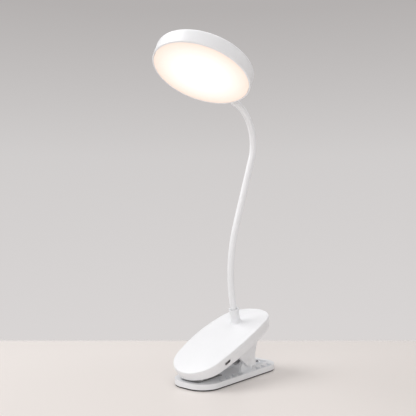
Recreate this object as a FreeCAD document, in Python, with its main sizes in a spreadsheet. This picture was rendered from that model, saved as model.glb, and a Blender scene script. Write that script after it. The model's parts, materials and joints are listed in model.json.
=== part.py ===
"""Clip-on reading lamp, in millimetres.

A rechargeable spring-clip base, a bendable neck and a round LED head.  +Z is up, the origin is the
middle of the rubber foot on the surface that the lamp stands on, the clip's mouth faces -Y, and the
lamp is mirror-symmetric about the plane X = 0 apart from its charging socket on the +X side.
"""
import FreeCAD, Part
import Sketcher
import math
import os
import re

doc = FreeCAD.newDocument("ClipLamp")

# ---------------------------------------------------------------- driving dimensions
DIMENSIONS = {
    # fits, and how far a cutting tool runs past the face it cuts
    "past": 4.0, "close_fit": 0.1, "slip_fit": 0.02, "screw_skin": 0.6, "head_sunk": 0.3,
    # lower jaw, a ribbed tray on a rubber foot
    "foot_thick": 1.5, "foot_inset": 0.8,
    "jaw_half_wide": 28.7, "jaw_half_long": 72.4, "jaw_corner": 23.2, "jaw_tall": 5.8,
    "jaw_floor": 1.6, "jaw_skin": 1.6, "deck_inner": 12.3,
    "pocket_near": 25.9, "pocket_far": 16.5, "pocket_pitch": 11.4, "pocket_start": -44.7,
    "pocket_rise": 9.9, "pocket_rib": 0.9, "nose_channel": -66.0, "tail_channel": 66.5,
    "seat_top": 6.0, "seat_front": -63.0, "seat_back": -20.0,
    "boss_radius": 3.6, "boss_hole": 1.1, "boss_y": 60.7, "boss_top": 6.0, "foot_head": 1.9,
    "ear_turn": 45.0,
    # hinge between the jaw's ears and the housing's cheeks
    "pivot_y": 13.5, "pivot_z": 19.2, "pin_radius": 2.0, "pin_half": 22.8, "pin_play": 0.05,
    "ear_inner": 17.0, "ear_thick": 3.2, "ear_round": 6.0, "ear_front": 1.5, "ear_back": 25.0,
    "cheek_inner": 20.9, "cheek_thick": 3.3, "cheek_back": 23.6, "cheek_foot": 11.8,
    "cheek_round": 6.4, "cheek_blind": 1.2, "cheek_corner_y": -18.0, "cheek_corner_z": 34.0,
    "cheek_back_z": 26.0, "cheek_top_z": 44.0, "cheek_high_z": 50.0, "cheek_turn": 50.0,
    "dimple_radius": 12.0, "dimple_deep": 0.7,
    "spring_wire": 1.8, "spring_coil": 8.0, "spring_half": 7.2, "spring_leg": 23.0,
    "upper_leg_rise": 52.0, "lower_leg_fall": 12.0,
    # grip pads
    "pad_half": 11.4, "upper_pad_half": 15.0, "pad_front": -61.0, "pad_back": -23.0,
    "lower_pad": 2.0, "ridge_pitch": 5.0, "ridge_wide": 2.4, "ridge_drop": 0.9, "upper_pad": 3.2,
    "upper_pad_front": -64.0,
    "upper_pad_back": -26.0,
    # housing, measured in its own tilted frame: Y along it, Z off its deck
    "deck_tilt": 21.3, "deck_y": -7.0, "deck_z": 45.2,
    "deck_half_wide": 36.0, "deck_half_long": 73.0, "deck_end": 32.5,
    "deck_rise": 7.15, "crown_rise": 3.0, "crown_bend": 440.0, "crease_x": 29.5, "crease_round": 10.0,
    "bevel_slope": 19.0, "crown_turn": 24.0, "deck_top_inset": 0.3,
    "seam_drop": 4.0, "seam_gap": 0.4, "deck_edge": 1.0,
    "shell_deep": 11.0, "shell_above": 3.0, "shell_inset": 1.9, "shell_edge": 1.6, "wall": 1.8,
    "shell_floor": 2.0,
    "post_radius": 3.0, "post_x": 20.0, "post_y": 52.0, "post_top": -2.4, "screw_radius": 1.2,
    "screw_head": 2.4, "screw_head_tall": 1.4,
    # things inside the housing
    "battery_wide": 34.0, "battery_long": 50.0, "battery_tall": 6.4, "battery_y": 6.0,
    "board_left": -18.0, "board_right": 27.6, "board_front": -46.0, "board_back": -25.0,
    "board_thick": 1.2, "board_z": -7.1, "board_corner": 3.5, "chip_left": 2.0, "chip_right": 9.0,
    "driver_left": 12.0, "driver_right": 16.0, "chip_front": 10.0, "chip_back": 3.0, "driver_front": 8.0,
    "driver_back": 4.0,
    "usb_y": -35.5, "usb_wide": 8.94, "usb_tall": 3.2, "usb_long": 7.3, "usb_end": 32.6,
    "usb_shell": 0.3, "usb_tongue": 0.35, "usb_tongue_side": 1.2, "usb_slot_wide": 9.4,
    "usb_slot_tall": 3.6,
    "touch_y": -36.0, "touch_radius": 7.0, "touch_thick": 0.3, "touch_z": 2.0,
    "touch_spring": 2.2, "touch_wire": 0.6,
    # neck: a bend back, a straight run and a tight bend forward over the page
    "neck_y": 13.1, "neck_z": 78.2, "neck_radius": 4.0, "sleeve_bore": 2.8, "core_radius": 2.4,
    "core_bore": 1.5, "wire_radius": 1.2, "socket_radius": 4.3,
    "lean_base": -14.9, "lean_mid": 20.7, "lean_head": -63.2,
    "low_bend": 161.6, "straight_run": 86.9, "high_bend": 49.7, "root_turn": 4.4, "head_turn": 5.6,
    "collar_radius": 6.1, "collar_bore": 4.75, "collar_tall": 18.2, "collar_flare": 11.0,
    "collar_waist": 5.75, "collar_lip": 1.6, "collar_drop": 0.8, "ferrule_long": 23.6, "ferrule_top": 4.0,
    "nut_across": 6.5, "nut_tall": 3.0, "nut_below": 0.2, "ferrule_fit": 0.15, "clip_wide": 0.7,
    "clip_thick": 1.2, "boss_fit": 0.05,
    # head
    "head_radius": 57.5, "head_thick": 17.5, "head_edge": 3.0, "head_wall": 1.8,
    "head_back": 2.0, "head_lip": 0.6, "axis_height": 8.3, "stub_long": 7.8,
    "head_boss": 10.0, "head_boss_radius": 5.4, "head_boss_reach": 2.0,
    "diffuser_gap": 0.35, "diffuser_thick": 2.0, "diffuser_inset": 0.3, "diffuser_skirt": 3.0,
    "led_board_radius": 44.0, "reflector_play": 0.6, "reflector_gap": 0.4, "led_board_thick": 1.2,
    "led_board_z": 12.0, "led_long": 3.5, "led_wide": 2.8, "led_tall": 0.8, "led_ring_inner": 22.0,
    "led_ring_outer": 37.0,
    "reflector_thick": 0.6, "led_post": 3.0, "led_post_ring": 30.0,
}
LED_INNER_COUNT = 10
LED_OUTER_COUNT = 18
LED_SCREW_COUNT = 3
NECK_LINKS = 6
POCKET_STEPS = (0, 1, 2, 3, 6, 7, 8)
HALF_TURN_SLACK = 1e-6

sheet = doc.addObject("Spreadsheet::Sheet", "Dims")
for row, (alias, number) in enumerate(DIMENSIONS.items(), start=1):
    sheet.set("A%d" % row, alias)
    sheet.set("B%d" % row, str(number))
    sheet.setAlias("B%d" % row, alias)
doc.recompute()

ALIAS = re.compile(r"\b(" + "|".join(sorted(DIMENSIONS, key=len, reverse=True)) + r")\b")
X_AXIS = FreeCAD.Vector(1, 0, 0)
Y_AXIS = FreeCAD.Vector(0, 1, 0)
Z_AXIS = FreeCAD.Vector(0, 0, 1)


def cells(formula):
    """A formula in plain aliases, as the expression engine wants it."""
    return ALIAS.sub(r"Dims.\1", str(formula))


def value(formula):
    return float(sheet.evalExpression(cells(formula)))


def bind(thing, prop, formula):
    thing.setExpression(prop, cells(formula))


# ---------------------------------------------------------------- sketches
def draw(sketch, outline):
    """Add one closed outline.  A corner is (x, y), or (x, y, radius, cx, cy, turn) where the edge that
    leaves it is an arc about (cx, cy), turning left for +1 and right for -1."""
    first = sketch.GeometryCount
    points = [FreeCAD.Vector(value(corner[0]), value(corner[1]), 0) for corner in outline]
    ends = []
    for index, corner in enumerate(outline):
        here = points[index]
        there = points[(index + 1) % len(points)]
        if len(corner) == 2:
            sketch.addGeometry(Part.LineSegment(here, there))
            ends.append((1, 2))
            continue
        centre = FreeCAD.Vector(value(corner[3]), value(corner[4]), 0)
        circle = Part.Circle(centre, Z_AXIS, value(corner[2]))
        angles = [math.atan2(p.y - centre.y, p.x - centre.x) for p in (here, there)]
        if corner[5] < 0:
            angles.reverse()
        sketch.addGeometry(Part.ArcOfCircle(circle, angles[0], angles[1]))
        ends.append((1, 2) if corner[5] > 0 else (2, 1))
    count = len(outline)
    for index in range(count):
        after = (index + 1) % count
        sketch.addConstraint(
            Sketcher.Constraint("Coincident", first + index, ends[index][1], first + after, ends[after][0]))
    for index, corner in enumerate(outline):
        for kind, formula in (("DistanceX", corner[0]), ("DistanceY", corner[1])):
            held = sketch.addConstraint(
                Sketcher.Constraint(kind, -1, 1, first + index, ends[index][0], value(formula)))
            bind(sketch, "Constraints[%d]" % held, formula)
        if len(corner) == 2:
            continue
        chord = points[(index + 1) % count] - points[index]
        if abs(chord.Length - 2 * value(corner[2])) > HALF_TURN_SLACK:
            held = sketch.addConstraint(Sketcher.Constraint("Radius", first + index, value(corner[2])))
            bind(sketch, "Constraints[%d]" % held, corner[2])
        else:
            # a half turn is held by its centre, because its ends already set its radius
            upright = abs(chord.y) > abs(chord.x)
            kind, formula = ("DistanceX", corner[3]) if upright else ("DistanceY", corner[4])
            held = sketch.addConstraint(Sketcher.Constraint(kind, -1, 1, first + index, 3, value(formula)))
            bind(sketch, "Constraints[%d]" % held, formula)


def draw_circle(sketch, x, y, radius):
    index = sketch.addGeometry(Part.Circle(FreeCAD.Vector(value(x), value(y), 0), Z_AXIS, value(radius)))
    for kind, formula in (("DistanceX", x), ("DistanceY", y)):
        held = sketch.addConstraint(Sketcher.Constraint(kind, -1, 1, index, 3, value(formula)))
        bind(sketch, "Constraints[%d]" % held, formula)
    held = sketch.addConstraint(Sketcher.Constraint("Radius", index, value(radius)))
    bind(sketch, "Constraints[%d]" % held, radius)


def rectangle(left, right, low, high):
    return [(left, low), (right, low), (right, high), (left, high)]


def round_rectangle(half_wide, half_long, corner):
    """A rectangle about the origin with round corners, anticlockwise from its right side."""
    wide, long_, round_ = "(%s)" % half_wide, "(%s)" % half_long, "(%s)" % corner
    across = "%s-%s" % (wide, round_)
    along = "%s-%s" % (long_, round_)
    return [
        (wide, "-(%s)" % along), (wide, along, round_, across, along, 1),
        (across, long_), ("-(%s)" % across, long_, round_, "-(%s)" % across, along, 1),
        ("-%s" % wide, along), ("-%s" % wide, "-(%s)" % along, round_, "-(%s)" % across, "-(%s)" % along, 1),
        ("-(%s)" % across, "-%s" % long_), (across, "-%s" % long_, round_, across, "-(%s)" % along, 1),
    ]


def oval(inset):
    """The housing's plan outline, two long bowed sides between two round ends, moved in by inset."""
    wide = "(deck_half_wide-(%s))" % inset
    end = "(deck_end-(%s))" % inset
    centre = "(deck_half_long-deck_end)"
    side = "((%s^2+%s^2-%s^2)/(2*(%s-%s)))" % (centre, wide, end, wide, end)
    reach = "(%s-%s)" % (side, wide)
    share = "(%s/(%s-%s))" % (end, side, end)
    joint_x = "(%s*%s)" % (reach, share)
    joint_y = "(%s*(1+%s))" % (centre, share)
    return [
        (joint_x, "-" + joint_y, side, "-" + reach, "0", 1),
        (joint_x, joint_y, end, "0", centre, 1),
        ("-" + joint_x, joint_y, side, reach, "0", 1),
        ("-" + joint_x, "-" + joint_y, end, "0", "-" + centre, 1),
    ]


def open_pocket(side, step):
    """One triangular pocket in the jaw's side deck: its long side is a diagonal rib, and the rib behind
    it runs straight across."""
    front = "(pocket_start+%d*pocket_pitch)" % step
    back = front + "+pocket_rise"
    return [
        ("%s*pocket_near" % side, front), ("%s*pocket_near" % side, back), ("%s*pocket_far" % side, back),
    ]


def under_pocket(side, step):
    """The triangle between two open pockets, which is hollowed from below."""
    front = "(pocket_start+%d*pocket_pitch+pocket_rise-pocket_pitch+3*pocket_rib)" % step
    back = "(pocket_start+%d*pocket_pitch+pocket_rise-pocket_rib)" % step
    near = "%s*(pocket_near-2*pocket_rib)" % side
    far = "%s*pocket_far" % side
    return [(near, front), (far, front), (far, back)]


# ---------------------------------------------------------------- bodies and their features
def new_body(label):
    body = doc.addObject("PartDesign::Body", label)
    body.Label = label
    return body


def body_sketch(body, name, role, offset=None):
    plane = [feature for feature in body.Origin.OriginFeatures if feature.Role == role][0]
    sketch = body.newObject("Sketcher::SketchObject", name)
    sketch.AttachmentSupport = [(plane, "")]
    sketch.MapMode = "FlatFace"
    if offset is not None:
        sketch.AttachmentOffset = FreeCAD.Placement(FreeCAD.Vector(0, 0, value(offset)), FreeCAD.Rotation())
        bind(sketch, "AttachmentOffset.Base.z", offset)
    return sketch


def feature(body, kind, name, sketch, length=None, both=False, reverse=False):
    made = body.newObject("PartDesign::" + kind, name)
    made.Profile = sketch
    if both:
        made.SideType = "Symmetric"
    made.Reversed = reverse
    if length is None:
        made.Type = "ThroughAll"
    else:
        bind(made, "Length", length)
    doc.recompute()
    return made


def turned(body, name, sketch):
    """Revolve an X-Z profile about the Z axis."""
    made = body.newObject("PartDesign::Revolution", name)
    made.Profile = sketch
    made.ReferenceAxis = (sketch, ["V_Axis"])
    doc.recompute()
    return made


# ---------------------------------------------------------------- free solids, placed by formula
def place(thing, y, z, lean=None, x=None):
    """Put a solid at (x, y, z) and lean it about X by a formula in degrees."""
    angle = 0.0 if lean is None else value(lean)
    spot = FreeCAD.Vector(0, value(y), value(z))
    thing.Placement = FreeCAD.Placement(spot, FreeCAD.Rotation(X_AXIS, angle))
    bind(thing, "Placement.Base.y", y)
    bind(thing, "Placement.Base.z", z)
    if x is not None:
        bind(thing, "Placement.Base.x", x)
    if lean is not None:
        bind(thing, "Placement.Rotation.Angle", lean)
    return thing


def on_deck(thing):
    return place(thing, "deck_y", "deck_z", "deck_tilt")


def loose_sketch(name, plane):
    sketch = doc.addObject("Sketcher::SketchObject", name)
    turns = {
        "XY": FreeCAD.Rotation(),
        "XZ": FreeCAD.Rotation(X_AXIS, 90),
        "YZ": FreeCAD.Rotation(FreeCAD.Vector(1, 1, 1), 120),
    }
    sketch.Placement = FreeCAD.Placement(FreeCAD.Vector(0, 0, 0), turns[plane])
    return sketch


def extrusion(name, sketch, length, both=False, taper=None):
    made = doc.addObject("Part::Extrusion", name)
    made.Base = sketch
    made.DirMode = "Normal"
    made.Solid = True
    made.Symmetric = both
    bind(made, "LengthFwd", length)
    if taper is not None:
        bind(made, "TaperAngle", taper)
    return made


def cylinder(name, radius, height):
    made = doc.addObject("Part::Cylinder", name)
    bind(made, "Radius", radius)
    bind(made, "Height", height)
    return made


def sphere(name, radius):
    made = doc.addObject("Part::Sphere", name)
    bind(made, "Radius", radius)
    return made


def box(name, left, right, front, back, low, high):
    made = doc.addObject("Part::Box", name)
    bind(made, "Length", "(%s)-(%s)" % (right, left))
    bind(made, "Width", "(%s)-(%s)" % (back, front))
    bind(made, "Height", "(%s)-(%s)" % (high, low))
    for axis, formula in (("x", left), ("y", front), ("z", low)):
        bind(made, "Placement.Base." + axis, formula)
    return made


def fuse(name, *things):
    made = doc.addObject("Part::MultiFuse", name)
    made.Shapes = list(things)
    return made


def cut(name, base, tool):
    made = doc.addObject("Part::Cut", name)
    made.Base = base
    made.Tool = tool
    return made


def common(name, one, other):
    made = doc.addObject("Part::MultiCommon", name)
    made.Shapes = [one, other]
    return made


def rounded(name, base, radius, chosen):
    """Round the edges of base that the test picks."""
    doc.recompute()
    size = value(radius)
    picked = [
        (index, size, size) for index, edge in enumerate(base.Shape.Edges, start=1) if chosen(edge)]
    made = doc.addObject("Part::Fillet", name)
    made.Base = base
    made.Edges = picked
    return made


nodes = {}


def node(label, thing):
    """Name a finished sub-part."""
    thing.Label = label
    nodes[label] = thing
    return thing


# ---------------------------------------------------------------- lower jaw
def make_foot_pad():
    body = new_body("foot_pad")
    sketch = body_sketch(body, "FootOutline", "XY_Plane")
    draw(sketch, round_rectangle(
        "jaw_half_wide-foot_inset", "jaw_half_long-foot_inset", "jaw_corner-foot_inset"))
    feature(body, "Pad", "FootPad", sketch, "foot_thick")
    node("foot_pad", body)


def ear_outline():
    """One ear: upright front edge, round top about the pin, and a sloping back."""
    root = "foot_thick+jaw_floor"
    return [
        ("ear_front", root), ("ear_back", root),
        ("pivot_y+ear_round", "pivot_z", "ear_round", "pivot_y", "pivot_z", 1),
        ("pivot_y-ear_round*cos(ear_turn)", "pivot_z+ear_round*sin(ear_turn)"),
        ("ear_front", "pivot_z-ear_round"),
    ]


def make_lower_jaw():
    body = new_body("lower_jaw")
    outline = body_sketch(body, "TrayOutline", "XY_Plane", "foot_thick")
    draw(outline, round_rectangle("jaw_half_wide", "jaw_half_long", "jaw_corner"))
    feature(body, "Pad", "Tray", outline, "jaw_tall")
    channel = body_sketch(body, "MiddleChannel", "XY_Plane", "foot_thick+jaw_tall")
    draw(channel, rectangle("-deck_inner", "deck_inner", "nose_channel", "tail_channel"))
    feature(body, "Pocket", "MiddleChannelCut", channel, "jaw_tall-jaw_floor")

    pockets = body_sketch(body, "OpenPockets", "XY_Plane", "foot_thick+jaw_tall")
    under = body_sketch(body, "UnderPockets", "XY_Plane", "foot_thick")
    for side in ("-1", "1"):
        for step in POCKET_STEPS:
            draw(pockets, open_pocket(side, step))
            draw(under, under_pocket(side, step))
    feature(body, "Pocket", "OpenPocketCut", pockets, "jaw_tall-jaw_floor")
    feature(body, "Pocket", "UnderPocketCut", under, "jaw_tall-jaw_skin", reverse=True)

    seat = body_sketch(body, "PadSeat", "XY_Plane", "foot_thick+jaw_floor")
    draw(seat, rectangle("-deck_inner", "deck_inner", "seat_front", "seat_back"))
    feature(body, "Pad", "SeatPad", seat, "seat_top-foot_thick-jaw_floor")

    boss = body_sketch(body, "ScrewBoss", "XY_Plane", "foot_thick+jaw_floor")
    draw_circle(boss, "0", "boss_y", "boss_radius")
    feature(body, "Pad", "BossPad", boss, "boss_top-foot_thick-jaw_floor")

    ears = body_sketch(body, "EarOutline", "YZ_Plane")
    draw(ears, ear_outline())
    feature(body, "Pad", "EarPad", ears, "2*(ear_inner+ear_thick)", both=True)
    slot = body_sketch(body, "BetweenEars", "YZ_Plane")
    draw(slot, rectangle("ear_front-1", "ear_back+1", "foot_thick+jaw_tall", "pivot_z+2*ear_round"))
    feature(body, "Pocket", "BetweenEarsCut", slot, "2*ear_inner", both=True)
    under = body_sketch(body, "UnderSpring", "XY_Plane", "foot_thick+jaw_tall")
    draw(under, rectangle("-deck_inner", "deck_inner", "ear_front-1", "ear_back+1"))
    feature(body, "Pocket", "UnderSpringCut", under, "jaw_tall-jaw_floor")

    bore = body_sketch(body, "PinBore", "YZ_Plane")
    draw_circle(bore, "pivot_y", "pivot_z", "pin_radius")
    feature(body, "Pocket", "PinBoreCut", bore, "4*ear_inner", both=True)
    hole = body_sketch(body, "BossHole", "XY_Plane", "boss_top")
    draw_circle(hole, "0", "boss_y", "boss_hole")
    feature(body, "Pocket", "BossHoleCut", hole, "boss_top-foot_thick")
    node("lower_jaw", body)


def make_foot_screw():
    """The small dark screw that holds the rubber foot, down through the boss at the tail."""
    shank = place(cylinder("FootShank", "boss_hole-slip_fit", "boss_top-foot_thick"), "boss_y", "foot_thick")
    head = place(sphere("FootHead", "foot_head"), "boss_y", "boss_top-screw_skin")
    skirt = place(cylinder("FootSkirt", "2*boss_radius", "2*boss_radius"), "boss_y", "boss_top-2*boss_radius")
    node("foot_screw", fuse("FootScrew", shank, cut("FootDome", head, skirt)))


def make_lower_grip_pad():
    body = new_body("lower_grip_pad")
    sketch = body_sketch(body, "PadOutline", "XY_Plane", "seat_top")
    draw(sketch, rectangle("-pad_half", "pad_half", "pad_front", "pad_back"))
    feature(body, "Pad", "Sheet", sketch, "lower_pad")
    grooves = body_sketch(body, "Grooves", "XY_Plane", "seat_top+lower_pad")
    count = int((value("pad_back") - value("pad_front")) / value("ridge_pitch"))
    for index in range(count):
        low = "(pad_front+ridge_wide+%d*ridge_pitch)" % index
        draw(grooves, rectangle("-pad_half-1", "pad_half+1", low, low + "+ridge_pitch-ridge_wide"))
    feature(body, "Pocket", "GrooveCut", grooves, "ridge_drop")
    node("lower_grip_pad", body)


def make_hinge_pin():
    pin = cylinder("HingePin", "pin_radius", "2*pin_half")
    pin.Placement = FreeCAD.Placement(FreeCAD.Vector(0, 0, 0), FreeCAD.Rotation(Y_AXIS, 90))
    bind(pin, "Placement.Base.x", "-pin_half")
    bind(pin, "Placement.Base.y", "pivot_y")
    bind(pin, "Placement.Base.z", "pivot_z")
    node("hinge_pin", pin)


def make_torsion_spring():
    """The closed coil as one sleeve round the pin, with its two straight legs."""
    coil = cylinder("SpringCoil", "spring_coil", "2*spring_half")
    bore = cylinder("SpringBore", "spring_coil-spring_wire", "2*spring_half")
    for thing in (coil, bore):
        thing.Placement = FreeCAD.Placement(FreeCAD.Vector(0, 0, 0), FreeCAD.Rotation(Y_AXIS, 90))
        bind(thing, "Placement.Base.x", "-spring_half")
        bind(thing, "Placement.Base.y", "pivot_y")
        bind(thing, "Placement.Base.z", "pivot_z")
    # each leg leaves the coil at a tangent and runs back, one up to the housing and one down to the jaw
    reach = "(spring_coil-spring_wire/2)"
    upper = cylinder("UpperLeg", "spring_wire/2", "spring_leg")
    place(upper, "pivot_y-%s*sin(upper_leg_rise)" % reach, "pivot_z+%s*cos(upper_leg_rise)" % reach,
          "upper_leg_rise-90", "spring_half-spring_wire/2")
    lower = cylinder("LowerLeg", "spring_wire/2", "spring_leg")
    place(lower, "pivot_y-%s*sin(lower_leg_fall)" % reach, "pivot_z-%s*cos(lower_leg_fall)" % reach,
          "-90-lower_leg_fall", "spring_wire/2-spring_half")
    legs = [upper, lower]
    spring = cut("Spring", fuse("SpringWire", coil, *legs), bore)
    node("torsion_spring", spring)


# ---------------------------------------------------------------- housing
def seam_cylinder(name, drop):
    """A wide cylinder across the housing, its top following the arched seam line."""
    rise = "(deck_rise-crown_rise)"
    radius = "(deck_half_long^2/(2*%s))" % rise
    made = cylinder(name, radius, "4*deck_half_wide")
    made.Placement = FreeCAD.Placement(FreeCAD.Vector(0, 0, 0), FreeCAD.Rotation(Y_AXIS, 90))
    bind(made, "Placement.Base.x", "-2*deck_half_wide")
    bind(made, "Placement.Base.z", "%s-seam_drop-(%s)-%s" % (rise, drop, radius))
    return made


def crown_block(name, drop):
    """A block under the deck's top: gently bowed across, with a soft crease and a bevel along each
    side, and turned about a far axis below."""
    along = "(deck_half_long^2/(2*deck_rise))"
    half = "(deck_half_wide+past)"
    top = "(deck_rise-(%s))" % drop
    start = "asin(crease_x/crown_bend)"
    centre_x = "((crown_bend-crease_round)*sin(%s))" % start
    centre_z = "(%s-crown_bend+(crown_bend-crease_round)*cos(%s))" % (top, start)
    crown_z = "(%s-crown_bend+crown_bend*cos(%s))" % (top, start)
    bevel_x = "(%s+crease_round*sin(bevel_slope))" % centre_x
    bevel_z = "(%s+crease_round*cos(bevel_slope))" % centre_z
    edge = "(%s-(%s-%s)*tan(bevel_slope))" % (bevel_z, half, bevel_x)
    sketch = loose_sketch(name + "Profile", "XZ")
    draw(sketch, [
        ("-" + half, "-2*shell_deep"), (half, "-2*shell_deep"), (half, edge),
        (bevel_x, bevel_z, "crease_round", centre_x, centre_z, 1),
        ("crease_x", crown_z, "crown_bend", "0", "%s-crown_bend" % top, 1),
        ("-crease_x", crown_z, "crease_round", "-" + centre_x, centre_z, 1),
        ("-" + bevel_x, bevel_z), ("-" + half, edge),
    ])
    made = doc.addObject("Part::Revolution", name)
    made.Source = sketch
    made.Axis = X_AXIS
    bind(made, "Base.z", "deck_rise-" + along)
    bind(made, "Angle", "crown_turn")
    made.Symmetric = True
    made.Solid = True
    return made


def flared_collar():
    """The neck's collar, turned about the neck's base axis: a ring on top of a concave flare."""
    sketch = loose_sketch("CollarProfile", "XZ")
    sweep = "collar_flare-collar_waist"
    low = "(-collar_drop-collar_tall)"
    draw(sketch, [
        ("0", low), ("collar_flare", low, sweep, "collar_flare", "%s+%s" % (low, sweep), -1),
        ("collar_waist", "%s+%s" % (low, sweep)), ("collar_waist", "-collar_drop-collar_lip"),
        ("collar_radius", "-collar_drop-collar_lip+(collar_radius-collar_waist)"),
        ("collar_radius", "-collar_drop"), ("0", "-collar_drop"),
    ])
    made = doc.addObject("Part::Revolution", "Collar")
    made.Source = sketch
    made.Axis = Z_AXIS
    made.Angle = 360
    made.Solid = True
    return place(made, "neck_y", "neck_z", "-lean_base")


def deck_oval(name, inset, low, high):
    sketch = loose_sketch(name + "Outline", "XY")
    draw(sketch, oval(inset))
    bind(sketch, "Placement.Base.z", low)
    return extrusion(name, sketch, "(%s)-(%s)" % (high, low))


def make_top_cover():
    outer = common("CoverOuter", deck_oval("CoverBlank", "0", "-seam_drop-past/2", "deck_rise+past"),
                   crown_block("CoverCrown", "0"))
    soft = rounded("CoverSoft", outer, "deck_edge", is_top_rim)
    inner = common("CoverInner", deck_oval("CoverCore", "wall", "-seam_drop-past", "deck_rise+past"),
                   crown_block("CoverCeiling", "wall"))
    skin = cut("CoverSkin", cut("CoverHollow", soft, inner), seam_cylinder("CoverSeam", "0"))
    on_deck(skin)
    collar = cut("CollarOutside", flared_collar(), on_deck(
        common("CollarLimit", deck_oval("CollarCore", "wall", "-seam_drop-5*past", "deck_rise+past"),
               crown_block("CollarCeiling", "wall/2"))))
    bore = place(cylinder("CollarBore", "collar_bore", "4*collar_tall"), "neck_y", "neck_z", "-lean_base")
    bind(bore, "Placement.Base.y", "neck_y+2*collar_tall*sin(-lean_base)")
    bind(bore, "Placement.Base.z", "neck_z-2*collar_tall*cos(lean_base)")
    node("top_cover", cut("TopCover", fuse("CoverAndCollar", skin, collar), bore))


def is_top_rim(edge):
    """The edge all round the top, above the middle of the side wall."""
    box_ = edge.BoundBox
    return box_.ZMin > -1.5 and box_.ZLength < value("deck_rise") + 1


def to_deck(y, z):
    """A place in the lamp's frame as a place in the housing's frame."""
    along = "((%s)-deck_y)*cos(deck_tilt)+((%s)-deck_z)*sin(deck_tilt)" % (y, z)
    off = "((%s)-deck_z)*cos(deck_tilt)-((%s)-deck_y)*sin(deck_tilt)" % (z, y)
    return along, off


def cheek_outline():
    """One cheek, drawn in the housing's frame: a diagonal front edge, a foot round the pin, and a
    nearly upright back."""
    centre = to_deck("pivot_y", "pivot_z")
    back_top = to_deck("cheek_back+1.25*past", "cheek_top_z")
    return [
        to_deck("cheek_corner_y", "cheek_corner_z"),
        to_deck("pivot_y-cheek_round*cos(cheek_turn)", "pivot_z-cheek_round*sin(cheek_turn)")
        + ("cheek_round",) + centre + (1,),
        to_deck("pivot_y", "pivot_z-cheek_round"), to_deck("cheek_back+1", "cheek_foot+1"),
        to_deck("cheek_back", "cheek_back_z"), back_top, to_deck("cheek_back+past/2", "cheek_high_z"),
    ]


def make_lower_shell():
    sketch = loose_sketch("ShellOutline", "XY")
    draw(sketch, oval("shell_inset"))
    bind(sketch, "Placement.Base.z", "-shell_deep")
    taper = "atan((shell_inset-deck_top_inset)/shell_deep)"
    blank = extrusion("ShellBlank", sketch, "shell_deep+shell_above", taper=taper)
    floor_z = -value("shell_deep")
    soft = rounded("ShellSoft", blank, "shell_edge",
                   lambda edge: edge.BoundBox.ZMax < floor_z + 0.01)
    outer = common("ShellOuter", soft, seam_cylinder("ShellSeam", "seam_gap"))
    inner = deck_oval("ShellCore", "shell_inset+wall", "shell_floor-shell_deep", "past")
    cup = cut("ShellCup", outer, inner)
    posts = []
    for index, (side, end) in enumerate((("-", "-"), ("", "-"), ("-", ""), ("", ""))):
        post = cylinder("Post%d" % index, "post_radius", "post_top+shell_deep-shell_floor/2")
        place(post, end + "post_y", "shell_floor/2-shell_deep", x=side + "post_x")
        posts.append(post)
    for index, (x, y) in enumerate(board_screw_places()):
        stand = cylinder("BoardPost%d" % index, "screw_head", "board_z+shell_deep-shell_floor/2")
        posts.append(place(stand, y, "shell_floor/2-shell_deep", x=x))

    cheeks = loose_sketch("CheekOutline", "YZ")
    draw(cheeks, cheek_outline())
    cheek_block = extrusion("CheekBlock", cheeks, "2*(cheek_inner+cheek_thick)", both=True)
    between = box("BetweenCheeks", "-cheek_inner", "cheek_inner", "-90", "90", "-60", "-shell_deep")
    above = deck_oval("AboveCheeks", "shell_inset+wall", "shell_floor-shell_deep", "30")
    pair = cut("CheekPair", cut("CheekSides", cheek_block, between), above)
    body = fuse("ShellBody", cup, pair, *posts)

    tools = [usb_opening(), cheek_bores(), cheek_dimple("-"), cheek_dimple("")]
    for index, (side, end) in enumerate((("-", "-"), ("", "-"), ("-", ""), ("", ""))):
        shank = cylinder("ScrewWay%d" % index, "screw_radius", "2*shell_deep")
        place(shank, end + "post_y", "-1.5*shell_deep", x=side + "post_x")
        sink = cylinder("ScrewSink%d" % index, "screw_head+2*close_fit", "screw_head_tall+past")
        place(sink, end + "post_y", "-shell_deep-past", x=side + "post_x")
        tools += [shank, sink]
    for index, (x, y) in enumerate(board_screw_places()):
        pilot = cylinder("Pilot%d" % index, "screw_radius", "board_z+shell_deep")
        tools.append(place(pilot, y, "screw_skin-shell_deep", x=x))
    shell = cut("LowerShell", body, fuse("ShellTools", *tools))
    on_deck(shell)
    node("lower_shell", shell)


def usb_opening():
    """The charging slot through the +X side wall, with full-round ends."""
    sketch = loose_sketch("UsbSlotOutline", "YZ")
    half = "((usb_slot_wide-usb_slot_tall)/2)"
    round_ = "usb_slot_tall/2"
    middle = "board_z+board_thick+usb_tall/2"
    low, high = "%s-%s" % (middle, round_), "%s+%s" % (middle, round_)
    draw(sketch, [
        ("usb_y-" + half, low), ("usb_y+" + half, low, round_, "usb_y+" + half, middle, 1),
        ("usb_y+" + half, high), ("usb_y-" + half, high, round_, "usb_y-" + half, middle, 1),
    ])
    return extrusion("UsbOpening", sketch, "2*deck_half_wide")


def cheek_bores():
    """One blind bore through the inner faces of both cheeks."""
    bore = cylinder("CheekBores", "pin_radius+pin_play", "2*(cheek_inner+cheek_thick-cheek_blind)")
    bore.Placement = FreeCAD.Placement(FreeCAD.Vector(0, 0, 0), FreeCAD.Rotation(Y_AXIS, 90))
    along, off = to_deck("pivot_y", "pivot_z")
    bind(bore, "Placement.Base.x", "-(cheek_inner+cheek_thick-cheek_blind)")
    bind(bore, "Placement.Base.y", along)
    bind(bore, "Placement.Base.z", off)
    return bore


def cheek_dimple(side):
    """A shallow round dish in a cheek's outer face, about the hinge pin."""
    along, off = to_deck("pivot_y", "pivot_z")
    reach = "(cheek_inner+cheek_thick+dimple_radius-dimple_deep)"
    ball = sphere("Dimple" + ("Left" if side else "Right"), "dimple_radius")
    return place(ball, along, off, x=side + reach)


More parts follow.
